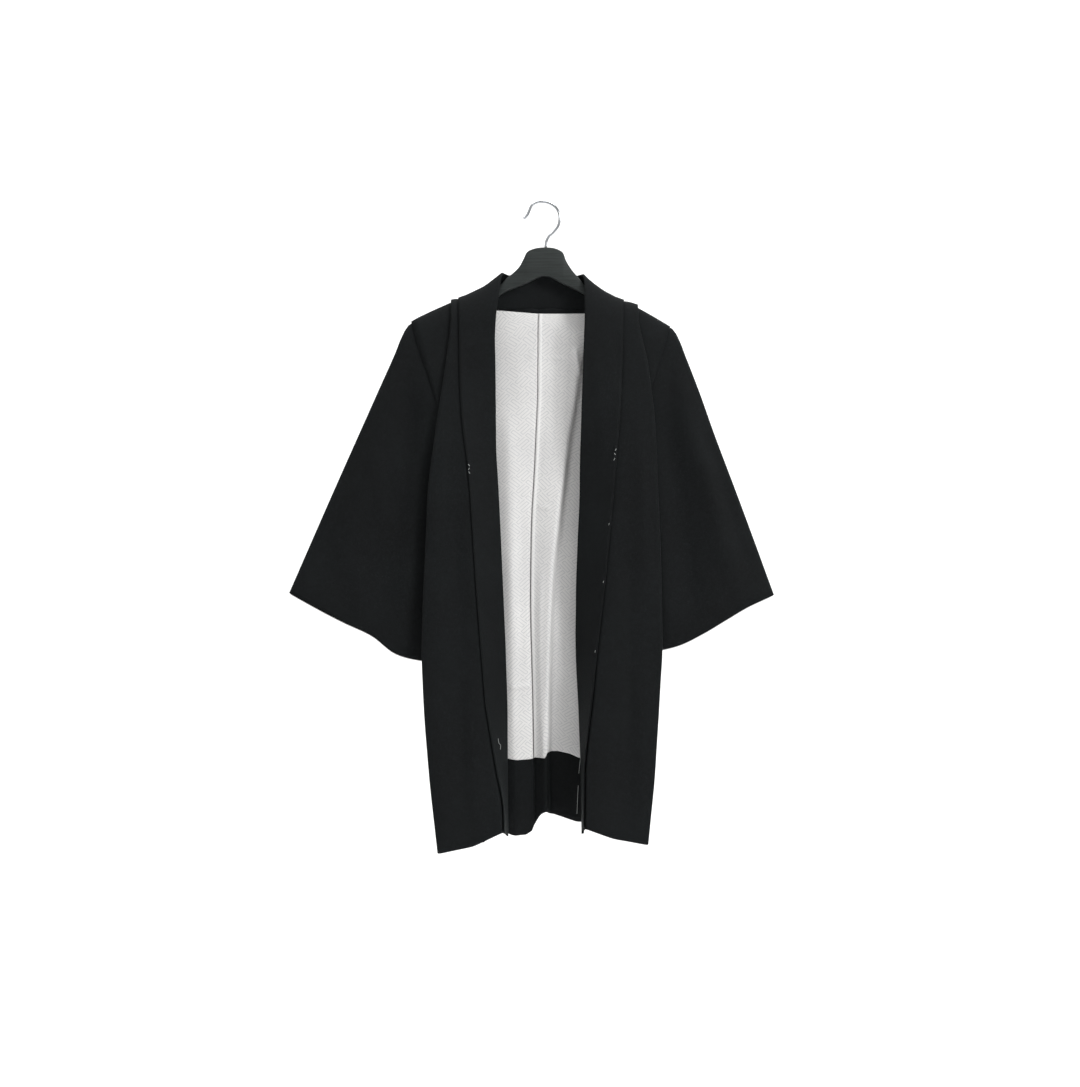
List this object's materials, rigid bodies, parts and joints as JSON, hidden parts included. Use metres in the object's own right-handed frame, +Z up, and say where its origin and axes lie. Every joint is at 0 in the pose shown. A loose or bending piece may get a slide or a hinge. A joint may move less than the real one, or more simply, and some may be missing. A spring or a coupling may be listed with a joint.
{
  "type": "haori on a coat hanger",
  "caption": "Open-fronted short kimono jacket with wide hanging sleeves and a turned-out collar, draped on a wooden coat hanger with a wire hook.",
  "frame": {"origin": "inside top of the hanger's hook, where a rail or a peg holds it", "axes": "+Z up along the hook's stem, the open front faces -Y, +X to the right seen from the front"},
  "size_m": [0.7763, 0.0859, 1.0383],
  "materials": {
    "body_left": "matt black silk crepe",
    "body_right": "matt black silk crepe",
    "collar": "matt black silk crepe",
    "sleeve_left": "matt black silk crepe",
    "sleeve_right": "matt black silk crepe",
    "gusset_left": "matt black silk crepe",
    "gusset_right": "matt black silk crepe",
    "chi_left": "matt black silk crepe",
    "chi_right": "matt black silk crepe",
    "hem_turn_up_left": "matt black silk crepe",
    "hem_turn_up_right": "matt black silk crepe",
    "lining_left": "soft pale grey patterned silk",
    "lining_right": "soft pale grey patterned silk",
    "cuff_lining_left": "soft pale grey silk",
    "cuff_lining_right": "soft pale grey silk",
    "hanger_body": "black paint, satin",
    "hanger_hook": "bright chrome plate"
  },
  "bodies": {
    "root": {"body_left": "body_left", "body_right": "body_right", "collar": "collar", "sleeve_left": "sleeve_left", "sleeve_right": "sleeve_right", "gusset_left": "gusset_left", "gusset_right": "gusset_right", "chi_left": "chi_left", "chi_right": "chi_right", "hem_turn_up_left": "hem_turn_up_left", "hem_turn_up_right": "hem_turn_up_right", "lining_left": "lining_left", "lining_right": "lining_right", "cuff_lining_left": "cuff_lining_left", "cuff_lining_right": "cuff_lining_right", "hanger_body": "hanger_body", "hanger_hook": "hanger_hook"}
  },
  "joints": []
}
